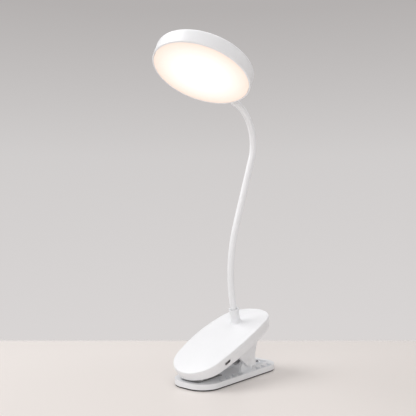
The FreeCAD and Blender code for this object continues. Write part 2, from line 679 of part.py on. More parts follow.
def make_upper_grip_pad():
    body = new_body("upper_grip_pad")
    sketch = body_sketch(body, "PadOutline", "XY_Plane", "-shell_deep")
    draw(sketch, rectangle("-upper_pad_half", "upper_pad_half", "upper_pad_front", "upper_pad_back"))
    feature(body, "Pad", "Sheet", sketch, "upper_pad", reverse=True)
    grooves = body_sketch(body, "Grooves", "XY_Plane", "-shell_deep-upper_pad")
    count = int((value("upper_pad_back") - value("upper_pad_front")) / value("ridge_pitch"))
    for index in range(count):
        low = "(upper_pad_front+ridge_wide+%d*ridge_pitch)" % index
        high = low + "+ridge_pitch-ridge_wide"
        draw(grooves, rectangle("-upper_pad_half-1", "upper_pad_half+1", low, high))
    feature(body, "Pocket", "GrooveCut", grooves, "ridge_drop", reverse=True)
    on_deck(body)
    node("upper_grip_pad", body)


# ---------------------------------------------------------------- inside the housing
def make_battery_cell():
    low = "shell_floor-shell_deep+close_fit"
    cell = box("BatteryBlank", "-battery_wide/2", "battery_wide/2", "battery_y-battery_long/2",
               "battery_y+battery_long/2", low, low + "+battery_tall")
    soft = rounded("BatterySoft", cell, "wall/2", lambda edge: True)
    on_deck(soft)
    node("battery_cell", soft)


def make_control_board():
    body = new_body("control_board")
    sketch = body_sketch(body, "BoardOutline", "XY_Plane", "board_z")
    draw(sketch, rectangle("board_left", "board_right", "board_front", "board_back"))
    feature(body, "Pad", "Board", sketch, "board_thick")
    holes = body_sketch(body, "BoardHoles", "XY_Plane", "board_z+board_thick")
    for x, y in board_screw_places():
        draw_circle(holes, x, y, "screw_radius+close_fit")
    feature(body, "Pocket", "BoardHoleCut", holes, "2*board_thick")
    parts = body_sketch(body, "BoardParts", "XY_Plane", "board_z+board_thick")
    draw(parts, rectangle("chip_left", "chip_right", "board_back-chip_front", "board_back-chip_back"))
    draw(parts, rectangle("driver_left", "driver_right", "board_back-driver_front",
                          "board_back-driver_back"))
    feature(body, "Pad", "Chips", parts, "board_thick")
    on_deck(body)
    node("control_board", body)


def board_screw_places():
    return (("board_left+board_corner", "board_front+board_corner"),
            ("board_left+board_corner", "board_back-board_corner"))


def make_board_screws():
    made = []
    for index, (x, y) in enumerate(board_screw_places()):
        shank = place(cylinder("BoardShank%d" % index, "screw_radius",
                               "board_z+board_thick+shell_deep-screw_skin"),
                      y, "screw_skin-shell_deep", x=x)
        head = place(cylinder("BoardHead%d" % index, "screw_head", "screw_head_tall"),
                     y, "board_z+board_thick", x=x)
        made.append(fuse("BoardScrew%d" % index, shank, head))
    group = doc.addObject("Part::Compound", "BoardScrews")
    group.Links = made
    on_deck(group)
    node("board_screws", group)


def make_shell_screws():
    made = []
    for index, (side, end) in enumerate((("-", "-"), ("", "-"), ("-", ""), ("", ""))):
        shank = place(cylinder("Shank%d" % index, "screw_radius-slip_fit",
                               "post_top+shell_deep-screw_head_tall"),
                      end + "post_y", "screw_head_tall-shell_deep", x=side + "post_x")
        head = place(cylinder("Head%d" % index, "screw_head", "screw_head_tall-head_sunk"),
                     end + "post_y", "head_sunk-shell_deep", x=side + "post_x")
        made.append(fuse("ShellScrew%d" % index, shank, head))
    group = doc.addObject("Part::Compound", "ShellScrews")
    group.Links = made
    on_deck(group)
    node("shell_screws", group)


def make_usb_socket():
    """A flat metal tube with round ends, its tongue inside, closed at the back."""
    half = "((usb_wide-usb_tall)/2)"
    middle = "board_z+board_thick+usb_tall/2"

    def slab(name, radius, left, right):
        sketch = loose_sketch(name + "Outline", "YZ")
        bind(sketch, "Placement.Base.x", left)
        draw(sketch, [
            ("usb_y-" + half, "%s-%s" % (middle, radius)),
            ("usb_y+" + half, "%s-%s" % (middle, radius), radius, "usb_y+" + half, middle, 1),
            ("usb_y+" + half, "%s+%s" % (middle, radius)),
            ("usb_y-" + half, "%s+%s" % (middle, radius), radius, "usb_y-" + half, middle, 1),
        ])
        return extrusion(name, sketch, "(%s)-(%s)" % (right, left))

    outer = slab("UsbBody", "(usb_tall/2)", "usb_end-usb_long", "usb_end")
    inner = slab("UsbMouth", "(usb_tall/2-usb_shell)", "usb_end-usb_long+1", "usb_end+1")
    tongue = box("UsbTongue", "usb_end-usb_long+1/2", "usb_end-1", "usb_y-usb_wide/2+usb_tongue_side",
                 "usb_y+usb_wide/2-usb_tongue_side", middle + "-usb_tongue", middle + "+usb_tongue")
    socket = fuse("UsbSocket", cut("UsbShell", outer, inner), tongue)
    on_deck(socket)
    node("usb_socket", socket)


def make_touch_parts():
    plate = cylinder("TouchPlate", "touch_radius", "touch_thick")
    bind(plate, "Placement.Base.z", "touch_z")
    bind(plate, "Placement.Base.y", "touch_y")
    group = doc.addObject("Part::Compound", "TouchPlateNode")
    group.Links = [plate]
    on_deck(group)
    node("touch_plate", group)
    low = "board_z+board_thick"
    outer = cylinder("TouchSpringOut", "touch_spring", "touch_z-(%s)" % low)
    inner = cylinder("TouchSpringIn", "touch_spring-touch_wire", "touch_z-(%s)" % low)
    for thing in (outer, inner):
        bind(thing, "Placement.Base.z", low)
        bind(thing, "Placement.Base.y", "touch_y")
    spring = cut("TouchSpring", outer, inner)
    on_deck(spring)
    node("touch_spring", spring)


# ---------------------------------------------------------------- neck
def bend_y(radius, start, end, way):
    """How far a bend moves the neck back, from one lean to another; way is 1 for a bend backwards."""
    return "%d*%s*(cos(%s)-cos(%s))" % (way, radius, start, end)


def neck_spans():
    """The neck's spans from the collar up, as (bend radius or None, lean at its start, lean at its end):
    a root that the housing holds, six links, and a last turn that the head holds."""
    first = "(lean_base+root_turn)"
    last = "(lean_head+head_turn)"
    middle_low = "((%s+lean_mid)/2)" % first
    middle_high = "((lean_mid+%s)/2)" % last
    return [
        ("low_bend", "lean_base", first), ("low_bend", first, middle_low),
        ("low_bend", middle_low, "lean_mid"),
        (None, "lean_mid", "lean_mid"), (None, "lean_mid", "lean_mid"),
        ("high_bend", "lean_mid", middle_high), ("high_bend", middle_high, last),
        ("high_bend", last, "lean_head"),
    ]


def neck_joints():
    """Where each span starts and where the last one ends, as (y, z, lean) formulas."""
    joints = [("neck_y", "neck_z", "lean_base")]
    for radius, start, end in neck_spans():
        y, z, _ = joints[-1]
        if radius is None:
            y = "%s+straight_run/2*sin(%s)" % (y, start)
            z = "%s+straight_run/2*cos(%s)" % (z, start)
        else:
            way = 1 if value(end) > value(start) else -1
            y = "%s+%s" % (y, bend_y(radius, start, end, way))
            z = "%s+%d*%s*(sin(%s)-sin(%s))" % (z, way, radius, end, start)
        joints.append((y, z, end))
    return joints


# a torus starts on its own +X and turns about its own +Z
BEND_BACK = FreeCAD.Rotation(
    FreeCAD.Vector(0, -1, 0), FreeCAD.Vector(0, 0, 1), FreeCAD.Vector(-1, 0, 0), "ZXY")
BEND_FORWARD = FreeCAD.Rotation(
    FreeCAD.Vector(0, 1, 0), FreeCAD.Vector(0, 0, 1), FreeCAD.Vector(1, 0, 0), "ZXY")


def link_rod(name, index, radius):
    """A round rod of the given radius along one span."""
    y, z, lean = neck_joints()[index]
    bend, start, end = neck_spans()[index]
    if bend is None:
        return place(cylinder(name, radius, "straight_run/2"), y, z, "-(%s)" % lean)
    made = doc.addObject("Part::Torus", name)
    bind(made, "Radius1", bend)
    bind(made, "Radius2", radius)
    made.Angle1 = -180
    made.Angle2 = 180
    if value(end) > value(start):
        # centre of the bend lies behind the neck: sweep from the far side down to the lean
        bind(made, "Angle3", "(%s)-(%s)" % (end, start))
        turn = FreeCAD.Rotation(X_AXIS, -value(start)) * BEND_BACK
        centre = ("%s+%s*cos(%s)" % (y, bend, start), "%s-%s*sin(%s)" % (z, bend, start))
    else:
        bind(made, "Angle3", "(%s)-(%s)" % (start, end))
        turn = FreeCAD.Rotation(X_AXIS, -value(start)) * BEND_FORWARD
        centre = ("%s-%s*cos(%s)" % (y, bend, start), "%s+%s*sin(%s)" % (z, bend, start))
    made.Placement = FreeCAD.Placement(FreeCAD.Vector(0, 0, 0), turn)
    bind(made, "Placement.Base.y", centre[0])
    bind(made, "Placement.Base.z", centre[1])
    return made




def along_neck(index, distance):
    """The place that lies a distance beyond a joint, straight along the neck's lean there."""
    y, z, lean = neck_joints()[index]
    return "%s+(%s)*sin(%s)" % (y, distance, lean), "%s+(%s)*cos(%s)" % (z, distance, lean)


def straight_rod(name, index, radius, start, length):
    """A straight rod along the neck's lean at a joint, from start beyond it."""
    y, z = along_neck(index, start)
    return place(cylinder(name, radius, length), y, z, "-(%s)" % neck_joints()[index][2])


def span_rod(name, index, radius):
    """A rod along one span, with the straight ends that go into the collar and into the head."""
    rods = [link_rod(name + "Run", index, radius)]
    if index == ROOT_SPAN:
        rods.append(straight_rod(name + "Tail", index, radius, "-ferrule_long", "ferrule_long"))
    if index == HEAD_SPAN:
        rods.append(straight_rod(name + "Tip", index + 1, radius, "0", STUB_REACH))
    return fuse(name, *rods) if len(rods) > 1 else rods[0]


ROOT_SPAN = 0
HEAD_SPAN = NECK_LINKS + 1
STUB_REACH = "(stub_long+head_boss+head_boss_reach+past/2)"
SPAN_TAGS = ["root"] + ["link_%d" % (link + 1) for link in range(NECK_LINKS)] + ["stub"]


def make_neck_span(index):
    """One span: its sleeve, with a ball at its start and a cup at its end, and its core and wires.
    The root has no ball and the stub has no cup."""
    tag = SPAN_TAGS[index]
    joints = neck_joints()
    y, z, _ = joints[index]
    parts = {}
    for name, radius in (("Sleeve", "neck_radius"), ("Core", "core_radius"), ("Wires", "wire_radius")):
        parts[name] = span_rod(name + tag, index, radius)
    bores = [span_rod("SleeveBore" + tag, index, "sleeve_bore")]
    if index != ROOT_SPAN:
        ball = place(sphere("Ball" + tag, "neck_radius"), y, z)
        parts["Sleeve"] = fuse("BallSleeve" + tag, parts["Sleeve"], ball)
        bores.append(straight_rod("BallBore" + tag, index, "sleeve_bore", "-2*neck_radius", "2*neck_radius"))
    parts["Core"] = cut("CoreTube" + tag, parts["Core"], span_rod("CoreBore" + tag, index, "core_bore"))
    if index != HEAD_SPAN:
        end_y, end_z, _ = joints[index + 1]
        for name in ("Core", "Wires"):
            cup = place(sphere(name + "Cup" + tag, "socket_radius"), end_y, end_z)
            parts[name] = cut(name + "Cut" + tag, parts[name], cup)
        bores.append(place(sphere("SleeveCup" + tag, "socket_radius"), end_y, end_z))
    hollow = fuse("SleeveHollow" + tag, *bores) if len(bores) > 1 else bores[0]
    node("neck_sleeve_" + tag, cut("NeckSleeve" + tag, parts["Sleeve"], hollow))
    node("neck_core_" + tag, parts["Core"])
    node("neck_wires_" + tag, parts["Wires"])


def make_neck_base():
    """The ferrule crimped round the neck's foot inside the collar, and the nut that holds it."""
    outer = straight_rod("FerruleOut", ROOT_SPAN, "collar_bore-ferrule_fit", "-ferrule_long",
                         "ferrule_long-ferrule_top")
    inner = straight_rod("FerruleIn", ROOT_SPAN, "neck_radius+slip_fit", "-ferrule_long-1", "ferrule_long")
    node("neck_base_ferrule", cut("BaseFerrule", outer, inner))

    nut = doc.addObject("Part::Prism", "NutBlank")
    nut.Polygon = 6
    bind(nut, "Circumradius", "nut_across")
    bind(nut, "Height", "nut_tall")
    nut_y, nut_z = along_neck(ROOT_SPAN, "nut_below-ferrule_long")
    place(nut, nut_y, nut_z, "-lean_base")
    bore = straight_rod("NutBore", ROOT_SPAN, "collar_bore-close_fit", "-ferrule_long-1", "ferrule_long")
    node("neck_base_nut", cut("BaseNut", nut, bore))


# ---------------------------------------------------------------- head, drawn face down at its own origin
def in_head(thing):
    """Carry a piece from the head's frame to the end of the neck."""
    y, z, lean = neck_joints()[HEAD_SPAN + 1]
    reach = "(head_radius+head_boss+stub_long)"
    tilt = "(-90-(%s))" % lean
    at_y = "%s-(%s*cos%s-axis_height*sin%s)" % (y, reach, tilt, tilt)
    at_z = "%s-(%s*sin%s+axis_height*cos%s)" % (z, reach, tilt, tilt)
    return place(thing, at_y, at_z, tilt)


def make_head_housing():
    body = new_body("head_housing")
    profile = body_sketch(body, "DishProfile", "XZ_Plane")
    inside = "(head_radius-head_wall)"
    ceiling = "(head_thick-head_back)"
    draw(profile, [
        ("head_radius-head_lip", "0"),
        ("head_radius", "head_lip"), ("head_radius", "head_thick-head_edge", "head_edge",
                                      "head_radius-head_edge", "head_thick-head_edge", 1),
        ("head_radius-head_edge", "head_thick"), ("0", "head_thick"), ("0", ceiling),
        (inside + "-head_edge", ceiling), (inside, ceiling + "-head_edge"), (inside, "0"),
    ])
    turned(body, "Dish", profile)
    boss = body_sketch(body, "BossOutline", "XZ_Plane", "-(head_radius-head_boss_reach)")
    draw_circle(boss, "0", "axis_height", "head_boss_radius")
    feature(body, "Pad", "Boss", boss, "head_boss+head_boss_reach", reverse=True)
    bore = body_sketch(body, "BossBore", "XZ_Plane", "-(head_radius+head_boss)")
    draw_circle(bore, "0", "axis_height", "neck_radius+boss_fit")
    feature(body, "Pocket", "BossBoreCut", bore, "head_boss+2*head_boss_reach", reverse=True)
    posts = body_sketch(body, "LedPosts", "XY_Plane", "led_board_z+led_board_thick")
    for x, y in led_screw_places():
        draw_circle(posts, x, y, "led_post")
    feature(body, "Pad", "LedPostPad", posts, "head_thick-head_back/2-led_board_z-led_board_thick")
    in_head(body)
    node("head_housing", body)


def led_screw_places():
    step = 360.0 / LED_SCREW_COUNT
    return [("led_post_ring*cos(%g)" % (90 + step * turn), "led_post_ring*sin(%g)" % (90 + step * turn))
            for turn in range(LED_SCREW_COUNT)]


def make_diffuser():
    body = new_body("diffuser")
    profile = body_sketch(body, "DiffuserProfile", "XZ_Plane")
    edge = "(head_radius-head_wall-diffuser_gap)"
    low = "diffuser_inset"
    draw(profile, [
        ("0", low), (edge, low), (edge, low + "+diffuser_skirt"),
        (edge + "-diffuser_thick", low + "+diffuser_skirt"),
        (edge + "-diffuser_thick", low + "+diffuser_thick"), ("0", low + "+diffuser_thick"),
    ])
    turned(body, "DiffuserTurn", profile)
    in_head(body)
    node("diffuser", body)


def make_reflector():
    body = new_body("reflector")
    profile = body_sketch(body, "ReflectorProfile", "XZ_Plane")
    wide = "(head_radius-head_wall-2*diffuser_thick-diffuser_gap)"
    low = "(diffuser_inset+diffuser_thick+reflector_gap)"
    draw(profile, [
        ("led_board_radius+reflector_play", "led_board_z"), (wide, low), (wide + "+reflector_thick", low),
        ("led_board_radius+reflector_play+reflector_thick", "led_board_z"),
    ])
    turned(body, "ReflectorTurn", profile)
    in_head(body)
    node("reflector", body)


def make_led_board():
    body = new_body("led_board")
    sketch = body_sketch(body, "LedBoardOutline", "XY_Plane", "led_board_z")
    draw_circle(sketch, "0", "0", "led_board_radius")
    for x, y in led_screw_places():
        draw_circle(sketch, x, y, "screw_radius+close_fit")
    feature(body, "Pad", "LedBoard", sketch, "led_board_thick")
    in_head(body)
    node("led_board", body)


def make_led_group():
    chips = []
    for ring, count in (("led_ring_inner", LED_INNER_COUNT), ("led_ring_outer", LED_OUTER_COUNT)):
        for turn in range(count):
            angle = 360.0 * (turn + 0.5) / count
            x = "(%s*cos(%g))" % (ring, angle)
            y = "(%s*sin(%g))" % (ring, angle)
            chips.append(box("Led%d" % len(chips), x + "-led_long/2", x + "+led_long/2",
                             y + "-led_wide/2", y + "+led_wide/2", "led_board_z-led_tall", "led_board_z"))
    group = doc.addObject("Part::Compound", "LedChips")
    group.Links = chips
    in_head(group)
    node("led_chips", group)


def make_led_screws():
    made = []
    for index, (x, y) in enumerate(led_screw_places()):
        shank = cylinder("LedShank%d" % index, "screw_radius", "led_board_thick")
        place(shank, y, "led_board_z", x=x)
        head = place(cylinder("LedHead%d" % index, "screw_head", "screw_head_tall"),
                     y, "led_board_z-screw_head_tall", x=x)
        made.append(fuse("LedScrew%d" % index, shank, head))
    group = doc.addObject("Part::Compound", "LedScrews")
    group.Links = made
    in_head(group)
    node("led_board_screws", group)


def make_neck_clip():
    """The ring that grips the neck's end inside the head."""
    start = "stub_long+head_boss+head_boss_reach+head_sunk"
    ring = straight_rod("ClipRing", HEAD_SPAN + 1, "neck_radius+clip_wide", start, "clip_thick")
    hole = straight_rod("ClipHole", HEAD_SPAN + 1, "neck_radius", start, "clip_thick")
    node("neck_clip", cut("NeckClip", ring, hole))


# ---------------------------------------------------------------- build, check and export
make_foot_pad()
make_lower_jaw()
make_foot_screw()
make_lower_grip_pad()
make_hinge_pin()
make_torsion_spring()
make_top_cover()
make_lower_shell()
make_upper_grip_pad()
make_battery_cell()
make_control_board()
make_board_screws()
make_shell_screws()
make_usb_socket()
make_touch_parts()
make_neck_base()
for span in range(len(SPAN_TAGS)):
    make_neck_span(span)
make_head_housing()
make_diffuser()
make_reflector()
make_led_board()
make_led_group()
make_led_screws()
make_neck_clip()
doc.recompute()

faults = [thing.Name for thing in doc.Objects if {"Invalid", "Error"} & set(thing.State)]
for label, thing in nodes.items():
    if thing.Shape.isNull() or not thing.Shape.isValid() or not thing.Shape.Solids:
        faults.append(label)
if faults:
    raise RuntimeError("these failed: " + ", ".join(faults))

os.makedirs("parts", exist_ok=True)
for label, thing in nodes.items():
    thing.Shape.exportStep("parts/%s.step" % label)
    print("%-20s %d solid(s) %9.1f mm3" % (label, len(thing.Shape.Solids), thing.Shape.Volume))
for number, (y, z, lean) in enumerate(neck_joints()[ROOT_SPAN + 1:HEAD_SPAN + 1]):
    print("neck joint %d at y %.3f z %.3f lean %.2f" % (number, value(y), value(z), value(lean)))
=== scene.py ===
"""A clip-on reading lamp: materials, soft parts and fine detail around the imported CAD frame.

Lengths are in metres.  The lamp stands on z = 0, its clip's mouth faces -Y, and it is mirror-symmetric
about x = 0 apart from its charging socket on the +X side.
"""
import json
import math

import bmesh
import bpy
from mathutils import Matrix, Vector


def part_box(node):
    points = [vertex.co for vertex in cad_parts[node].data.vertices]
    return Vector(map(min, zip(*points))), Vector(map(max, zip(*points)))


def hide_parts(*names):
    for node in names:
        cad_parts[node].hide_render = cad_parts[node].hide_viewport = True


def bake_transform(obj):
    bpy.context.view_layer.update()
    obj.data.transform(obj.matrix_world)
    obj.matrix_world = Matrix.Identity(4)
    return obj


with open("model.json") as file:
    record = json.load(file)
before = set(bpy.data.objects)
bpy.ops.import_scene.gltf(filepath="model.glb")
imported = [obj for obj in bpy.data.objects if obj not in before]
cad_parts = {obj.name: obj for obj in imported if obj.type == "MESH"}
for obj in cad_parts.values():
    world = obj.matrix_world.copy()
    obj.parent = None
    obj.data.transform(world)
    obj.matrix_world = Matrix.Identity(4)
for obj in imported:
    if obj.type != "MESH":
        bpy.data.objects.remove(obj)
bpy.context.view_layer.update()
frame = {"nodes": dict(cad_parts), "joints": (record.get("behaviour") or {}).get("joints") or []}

MM = 0.001
NODES = frame["nodes"]
BEND_JOINTS = [joint for joint in frame["joints"] if joint["name"].startswith("neck_")]
HINGE = next(Vector(joint["pos_m"]) for joint in frame["joints"] if joint["name"] == "jaw_hinge")

# ---------------------------------------------------------------- camera, floor and light
CAMERA_TURN = math.radians(40.39)
CAMERA_AIM = Vector((0.0, -0.0338, 0.1974))
CAMERA_AWAY = 0.7213
CAMERA_LENS = 55.0
TABLE_BEHIND = 0.23
TABLE_FADE = 0.012
TABLE_SIDE = 4.0
FLOOR_COLOUR = (0.79, 0.75, 0.72)
FLOOR_ROUGHNESS = 0.35
# the studio's shade from just below the horizon upwards: (height from -1 down to 1 up, as 0 to 1; colour)
STUDIO_LOW = (0.41, (0.69, 0.665, 0.66, 1))
STUDIO_MIDDLE = (0.54, (0.635, 0.615, 0.61, 1))
STUDIO_HIGH = (0.65, (0.46, 0.44, 0.435, 1))
# name, power in watts, width, place, and the point it is aimed at
LIGHTS = (
    ("key", 9.4, 1.0, (-0.75, -0.45, 1.15), (0, 0, 0.1)),
    ("top", 7.0, 1.2, (0.1, 0.3, 1.6), (0, 0, 0.1)),
    ("fill", 3.8, 1.2, (0.7, -0.9, 0.5), (0, 0, 0.2)),
)


def make_camera():
    data = bpy.data.cameras.new("camera")
    data.lens = CAMERA_LENS
    data.dof.use_dof = False
    camera = bpy.data.objects.new("camera", data)
    bpy.context.scene.collection.objects.link(camera)
    back = Vector((math.sin(CAMERA_TURN), -math.cos(CAMERA_TURN), 0.0))
    camera.location = CAMERA_AIM + back * CAMERA_AWAY
    camera.rotation_euler = (math.pi / 2, 0.0, CAMERA_TURN)
    bpy.context.scene.camera = camera


def make_light(name, energy, size, place, target):
    data = bpy.data.lights.new(name, "AREA")
    data.energy = energy
    data.shape = "DISK"
    data.size = size
    light = bpy.data.objects.new(name, data)
    bpy.context.scene.collection.objects.link(light)
    light.location = place
    light.rotation_euler = (Vector(target) - Vector(place)).to_track_quat("-Z", "Y").to_euler()


def make_world():
    """A plain pale studio that darkens gently upwards."""
    world = bpy.data.worlds.new("studio")
    bpy.context.scene.world = world
    world.use_nodes = True
    tree = world.node_tree
    coordinate = tree.nodes.new("ShaderNodeTexCoord")
    split = tree.nodes.new("ShaderNodeSeparateXYZ")
    scale = tree.nodes.new("ShaderNodeMapRange")
    scale.inputs["From Min"].default_value = -1.0
    scale.inputs["From Max"].default_value = 1.0
    ramp = tree.nodes.new("ShaderNodeValToRGB")
    stops = ramp.color_ramp.elements
    stops[0].position, stops[0].color = STUDIO_LOW
    stops[1].position, stops[1].color = STUDIO_HIGH
    stops.new(STUDIO_MIDDLE[0]).color = STUDIO_MIDDLE[1]
    tree.links.new(coordinate.outputs["Generated"], split.inputs[0])
    tree.links.new(split.outputs["Z"], scale.inputs["Value"])
    tree.links.new(scale.outputs["Result"], ramp.inputs[0])
    tree.links.new(ramp.outputs[0], tree.nodes["Background"].inputs["Color"])


def make_floor():
    """The table top, whose far edge fades out."""
    mesh = bpy.data.meshes.new("floor")
    side = TABLE_SIDE
    corners = [(-side, -side, 0), (side, -side, 0), (side, TABLE_BEHIND, 0), (-side, TABLE_BEHIND, 0)]
    mesh.from_pydata(corners, [], [(0, 1, 2, 3)])
    floor = bpy.data.objects.new("floor", mesh)
    bpy.context.scene.collection.objects.link(floor)
    floor.location = (CAMERA_AIM.x, CAMERA_AIM.y, 0.0)
    floor.rotation_euler = (0, 0, CAMERA_TURN)
    material = bpy.data.materials.new("floor_stone")
    material.use_nodes = True
    tree = material.node_tree
    shader = tree.nodes["Principled BSDF"]
    shader.inputs["Base Color"].default_value = (*FLOOR_COLOUR, 1)
    shader.inputs["Roughness"].default_value = FLOOR_ROUGHNESS
    coordinate = tree.nodes.new("ShaderNodeTexCoord")
    split = tree.nodes.new("ShaderNodeSeparateXYZ")
    fade = tree.nodes.new("ShaderNodeMapRange")
    fade.inputs["From Min"].default_value = TABLE_BEHIND - TABLE_FADE
    fade.inputs["From Max"].default_value = TABLE_BEHIND
    fade.inputs["To Min"].default_value = 1.0
    fade.inputs["To Max"].default_value = 0.0
    tree.links.new(coordinate.outputs["Object"], split.inputs[0])
    tree.links.new(split.outputs["Y"], fade.inputs["Value"])
    tree.links.new(fade.outputs["Result"], shader.inputs["Alpha"])
    mesh.materials.append(material)


# ---------------------------------------------------------------- materials
SHINE_BELOW = 0.04
SHINE_ABOVE = 0.06
GRAIN_HEIGHT = 0.02 * MM
GLOW_MIDDLE = (0.25, (1.0, 0.95, 0.91, 1))
GLOW_RIM = (1.0, (0.64, 0.49, 0.40, 1))


def surface(name, colour, rough, metal=0.0, grain=2600.0, bump=0.05, blotch=45.0, shift=0.03, stretch=None):
    """A finish whose colour drifts slightly, whose shine is uneven, and whose surface has a fine grain.
    Stretch pulls the grain out along one axis, as brushing and drawing do."""
    material = bpy.data.materials.new("fine_" + name)
    material.use_nodes = True
    tree = material.node_tree
    shader = tree.nodes["Principled BSDF"]
    shader.inputs["Metallic"].default_value = metal
    place = tree.nodes.new("ShaderNodeTexCoord").outputs["Object"]
    drawn = place
    if stretch:
        mapping = tree.nodes.new("ShaderNodeMapping")
        mapping.inputs["Scale"].default_value = stretch
        tree.links.new(place, mapping.inputs["Vector"])
        drawn = mapping.outputs["Vector"]

    drift = tree.nodes.new("ShaderNodeTexNoise")
    drift.inputs["Scale"].default_value = blotch
    drift.inputs["Detail"].default_value = 3.0
    tree.links.new(place, drift.inputs["Vector"])
    ramp = tree.nodes.new("ShaderNodeValToRGB")
    ramp.color_ramp.elements[0].position = 0.3
    ramp.color_ramp.elements[0].color = (*[c * (1 - shift) for c in colour], 1)
    ramp.color_ramp.elements[1].position = 0.7
    ramp.color_ramp.elements[1].color = (*[min(1.0, c * (1 + shift / 2)) for c in colour], 1)
    tree.links.new(drift.outputs[0], ramp.inputs[0])
    tree.links.new(ramp.outputs[0], shader.inputs["Base Color"])

    fine = tree.nodes.new("ShaderNodeTexNoise")
    fine.inputs["Scale"].default_value = grain
    fine.inputs["Detail"].default_value = 2.0
    tree.links.new(drawn, fine.inputs["Vector"])
    shine = tree.nodes.new("ShaderNodeMapRange")
    shine.inputs["To Min"].default_value = rough - SHINE_BELOW
    shine.inputs["To Max"].default_value = rough + SHINE_ABOVE
    tree.links.new(fine.outputs[0], shine.inputs["Value"])
    tree.links.new(shine.outputs["Result"], shader.inputs["Roughness"])
    relief = tree.nodes.new("ShaderNodeBump")
    relief.inputs["Strength"].default_value = bump
    relief.inputs["Distance"].default_value = GRAIN_HEIGHT
    tree.links.new(fine.outputs[0], relief.inputs["Height"])
    tree.links.new(relief.outputs[0], shader.inputs["Normal"])
    return material


def add_glow(material, centre, radius):
    """Light through the diffuser: full in the middle, and dimmer and warmer towards the rim."""
    tree = material.node_tree
    shader = tree.nodes["Principled BSDF"]
    place = tree.nodes.new("ShaderNodeTexCoord")
    away = tree.nodes.new("ShaderNodeVectorMath")
    away.operation = "DISTANCE"
    away.inputs[1].default_value = centre
    scale = tree.nodes.new("ShaderNodeMapRange")
    scale.inputs["From Max"].default_value = radius
    ramp = tree.nodes.new("ShaderNodeValToRGB")
    stops = ramp.color_ramp.elements
    stops[0].position, stops[0].color = GLOW_MIDDLE
    stops[1].position, stops[1].color = GLOW_RIM
    tree.links.new(place.outputs["Object"], away.inputs[0])
    tree.links.new(away.outputs["Value"], scale.inputs["Value"])
    tree.links.new(scale.outputs["Result"], ramp.inputs[0])
    tree.links.new(ramp.outputs[0], shader.inputs["Emission Color"])
    shader.inputs["Emission Strength"].default_value = 1.0


LONG_GRAIN = (0.08, 1.0, 1.0)
finishes = {
    "white_plastic": surface("white_plastic", (0.85, 0.865, 0.885), 0.33, bump=0.08, shift=0.012),
    "black_rubber": surface("black_rubber", (0.018, 0.018, 0.018), 0.72, grain=1500.0, bump=0.4),
    "grey_rubber": surface("grey_rubber", (0.42, 0.42, 0.42), 0.62, grain=1500.0, bump=0.3),
    "steel": surface("steel", (0.60, 0.60, 0.61), 0.28, 1.0, stretch=LONG_GRAIN, bump=0.2),
    # near-black steel; where it fills the hole in the jaw's boss as a screw head, its darkness is painted
    # shade standing in for the dark hole
    "dark_steel": surface("dark_steel", (0.03, 0.03, 0.033), 0.42, 0.6, bump=0.2),
    "cell_wrap": surface("cell_wrap", (0.66, 0.68, 0.72), 0.30, 0.8, grain=400.0, bump=0.5),
    "circuit_board": surface("circuit_board", (0.02, 0.20, 0.06), 0.38, shift=0.25, blotch=320.0),
    "socket_metal": surface("socket_metal", (0.58, 0.58, 0.59), 0.26, 1.0, stretch=LONG_GRAIN, bump=0.2),
    "copper": surface("copper", (0.80, 0.46, 0.28), 0.30, 1.0, shift=0.15, bump=0.2),
    "diffuser_plastic": surface("diffuser_plastic", (0.42, 0.42, 0.41), 0.42, bump=0.05, shift=0.01),
    "reflector_white": surface("reflector_white", (0.90, 0.90, 0.89), 0.50, bump=0.1),
    "led_board_aluminium": surface("led_board_aluminium", (0.82, 0.82, 0.80), 0.40, shift=0.04),
    "led_chips": surface("led_chips", (0.90, 0.76, 0.25), 0.45, shift=0.10, blotch=600.0),
    "neck_silicone": surface("neck_silicone", (0.85, 0.865, 0.885), 0.38, bump=0.05, shift=0.012),
    "wire_cover": surface("wire_cover", (0.55, 0.05, 0.04), 0.45, bump=0.1),
}
lit_low, lit_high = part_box("diffuser")
add_glow(finishes["diffuser_plastic"], (lit_low + lit_high) / 2, (lit_high.x - lit_low.x) / 2)
for thing in NODES.values():
    for held in thing.material_slots:
        held.material = finishes[held.material.name.split(".")[0]]


# ---------------------------------------------------------------- round wire and tube
def tube(name, centres, radius, sides, finish):
    """A smooth closed tube round a line of points."""
    mesh = bpy.data.meshes.new(name)
    work = bmesh.new()
    across = Vector((1, 0, 0))
    rings = []
    for index, centre in enumerate(centres):
        before = centres[max(index - 1, 0)]
        after = centres[min(index + 1, len(centres) - 1)]
        along = (after - before).normalized()
        across = (across - along * across.dot(along)).normalized()
        up = along.cross(across)
        turns = [2 * math.pi * side / sides for side in range(sides)]
        spokes = [across * math.cos(turn) + up * math.sin(turn) for turn in turns]
        rings.append([work.verts.new(centre + spoke * radius) for spoke in spokes])
    for low, high in zip(rings, rings[1:]):
        for side in range(sides):
            after = (side + 1) % sides
            work.faces.new((low[side], low[after], high[after], high[side])).smooth = True
    for ring in (rings[0][::-1], rings[-1]):
        for edge in work.faces.new(ring).edges:
            edge.smooth = False
    work.to_mesh(mesh)
    work.free()
    piece = bpy.data.objects.new(name, mesh)
    bpy.context.scene.collection.objects.link(piece)
    mesh.materials.append(finishes[finish])
    return piece


# ---------------------------------------------------------------- the neck's one smooth sleeve
NECK_RADIUS = 4.0 * MM
NECK_SIDES = 48
RING_STEP = 1.5 * MM
# along the neck: collar ring to first joint, last joint to the end of the bend, and into each socket
ROOT_ARC = 12.41 * MM
HEAD_ARC = 4.86 * MM
INTO_COLLAR = 8.0 * MM
INTO_HEAD = 16.5 * MM


def circle_through(one, two, three):
    """The centre of the circle through three points in the lamp's middle plane."""
    a, b = two - one, three - one
    cross = 2 * (a.y * b.z - a.z * b.y)
    y = (b.z * a.length_squared - a.z * b.length_squared) / cross
    z = (a.y * b.length_squared - b.y * a.length_squared) / cross
    return one + Vector((0, y, z))


